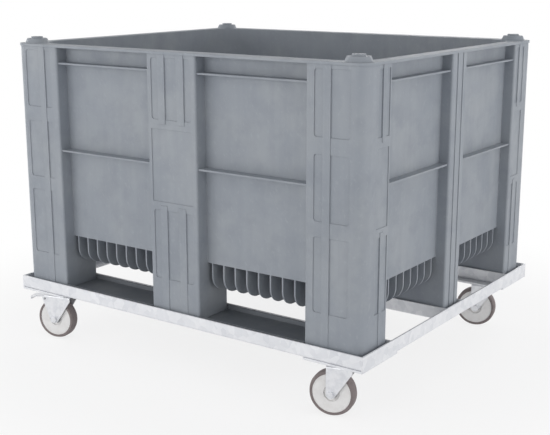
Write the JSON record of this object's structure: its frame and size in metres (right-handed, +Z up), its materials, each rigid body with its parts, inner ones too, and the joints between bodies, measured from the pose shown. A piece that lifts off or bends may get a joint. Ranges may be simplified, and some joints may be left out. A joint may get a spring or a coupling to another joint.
{
  "type": "wheeled bin",
  "caption": "Large open-topped plastic pallet bin on hollow feet with runners, standing loose in a low galvanised dolly frame that rolls on swivel castors, two of them braked.",
  "frame": {"origin": "on the floor, under the middle of the dolly frame", "axes": "+X along the long side, towards the castors without brakes; +Y from the front long side to the back; +Z up"},
  "size_m": [1.2388, 1.022, 0.935],
  "materials": {
    "bin_plastic": "blue-grey moulded plastic, scuffed",
    "runner_plastic": "blue-grey moulded plastic, worn underneath",
    "screw_steel": "zinc plated",
    "galvanised_sheet": "galvanised with faint spangle",
    "galvanised_plate": "galvanised",
    "bolt_zinc": "zinc plated",
    "fork_zinc": "zinc plated pressed steel",
    "kingpin_steel": "bare steel",
    "bearing_steel": "ground steel with a grey seal",
    "wheel_nylon": "off-white nylon",
    "tyre_rubber": "brown-grey rubber"
  },
  "bodies": {
    "dolly": {"front_tray": "galvanised_sheet", "middle_tray": "galvanised_sheet", "back_tray": "galvanised_sheet", "left_rail": "galvanised_sheet", "right_rail": "galvanised_sheet", "corner_plates": "galvanised_plate", "castor_bolts": "bolt_zinc", "top_plate_front_left": "fork_zinc", "kingpin_front_left": "kingpin_steel", "thrust_bearing_front_left": "bearing_steel", "top_plate_front_right": "fork_zinc", "kingpin_front_right": "kingpin_steel", "thrust_bearing_front_right": "bearing_steel", "top_plate_back_left": "fork_zinc", "kingpin_back_left": "kingpin_steel", "thrust_bearing_back_left": "bearing_steel", "top_plate_back_right": "fork_zinc", "kingpin_back_right": "kingpin_steel", "thrust_bearing_back_right": "bearing_steel"},
    "bin": {"bin_shell": "bin_plastic", "front_runner": "runner_plastic", "middle_runner": "runner_plastic", "back_runner": "runner_plastic", "runner_screws": "screw_steel"},
    "swivel_front_left": {"fork_front_left": "fork_zinc", "axle_front_left": "bolt_zinc", "axle_nut_front_left": "bolt_zinc", "axle_spacers_front_left": "kingpin_steel", "pedal_pin_front_left": "kingpin_steel"},
    "wheel_front_left": {"wheel_front_left": "wheel_nylon", "tyre_front_left": "tyre_rubber", "bearings_front_left": "bearing_steel"},
    "pedal_front_left": {"brake_pedal_front_left": "fork_zinc"},
    "swivel_front_right": {"fork_front_right": "fork_zinc", "axle_front_right": "bolt_zinc", "axle_nut_front_right": "bolt_zinc", "axle_spacers_front_right": "kingpin_steel"},
    "wheel_front_right": {"wheel_front_right": "wheel_nylon", "tyre_front_right": "tyre_rubber", "bearings_front_right": "bearing_steel"},
    "swivel_back_left": {"fork_back_left": "fork_zinc", "axle_back_left": "bolt_zinc", "axle_nut_back_left": "bolt_zinc", "axle_spacers_back_left": "kingpin_steel", "pedal_pin_back_left": "kingpin_steel"},
    "wheel_back_left": {"wheel_back_left": "wheel_nylon", "tyre_back_left": "tyre_rubber", "bearings_back_left": "bearing_steel"},
    "pedal_back_left": {"brake_pedal_back_left": "fork_zinc"},
    "swivel_back_right": {"fork_back_right": "fork_zinc", "axle_back_right": "bolt_zinc", "axle_nut_back_right": "bolt_zinc", "axle_spacers_back_right": "kingpin_steel"},
    "wheel_back_right": {"wheel_back_right": "wheel_nylon", "tyre_back_right": "tyre_rubber", "bearings_back_right": "bearing_steel"}
  },
  "joints": [
    {"name": "bin_lift", "type": "slide", "parent": "dolly", "child": "bin", "axis": [0, 0, 1], "range_m": [0, 0.08]},
    {"name": "swivel_turn_front_left", "type": "hinge", "parent": "dolly", "child": "swivel_front_left", "pos_m": [-0.511, -0.434, 0.1], "axis": [0, 0, 1], "continuous": true},
    {"name": "wheel_turn_front_left", "type": "hinge", "parent": "swivel_front_left", "child": "wheel_front_left", "pos_m": [-0.53823, -0.44054, 0.0625], "axis": [-0.2334, 0.9724, 0], "continuous": true},
    {"name": "pedal_press_front_left", "type": "hinge", "parent": "swivel_front_left", "child": "pedal_front_left", "pos_m": [-0.56837, -0.44777, 0.127], "axis": [0.2334, -0.9724, 0], "range_deg": [0, 20]},
    {"name": "swivel_turn_front_right", "type": "hinge", "parent": "dolly", "child": "swivel_front_right", "pos_m": [0.511, -0.434, 0.1], "axis": [0, 0, 1], "continuous": true},
    {"name": "wheel_turn_front_right", "type": "hinge", "parent": "swivel_front_right", "child": "wheel_front_right", "pos_m": [0.48377, -0.44054, 0.0625], "axis": [-0.2334, 0.9724, 0], "continuous": true},
    {"name": "swivel_turn_back_left", "type": "hinge", "parent": "dolly", "child": "swivel_back_left", "pos_m": [-0.511, 0.434, 0.1], "axis": [0, 0, 1], "continuous": true},
    {"name": "wheel_turn_back_left", "type": "hinge", "parent": "swivel_back_left", "child": "wheel_back_left", "pos_m": [-0.53823, 0.42746, 0.0625], "axis": [-0.2334, 0.9724, 0], "continuous": true},
    {"name": "pedal_press_back_left", "type": "hinge", "parent": "swivel_back_left", "child": "pedal_back_left", "pos_m": [-0.56837, 0.42023, 0.127], "axis": [0.2334, -0.9724, 0], "range_deg": [0, 20]},
    {"name": "swivel_turn_back_right", "type": "hinge", "parent": "dolly", "child": "swivel_back_right", "pos_m": [0.511, 0.434, 0.1], "axis": [0, 0, 1], "continuous": true},
    {"name": "wheel_turn_back_right", "type": "hinge", "parent": "swivel_back_right", "child": "wheel_back_right", "pos_m": [0.48377, 0.42746, 0.0625], "axis": [-0.2334, 0.9724, 0], "continuous": true}
  ]
}
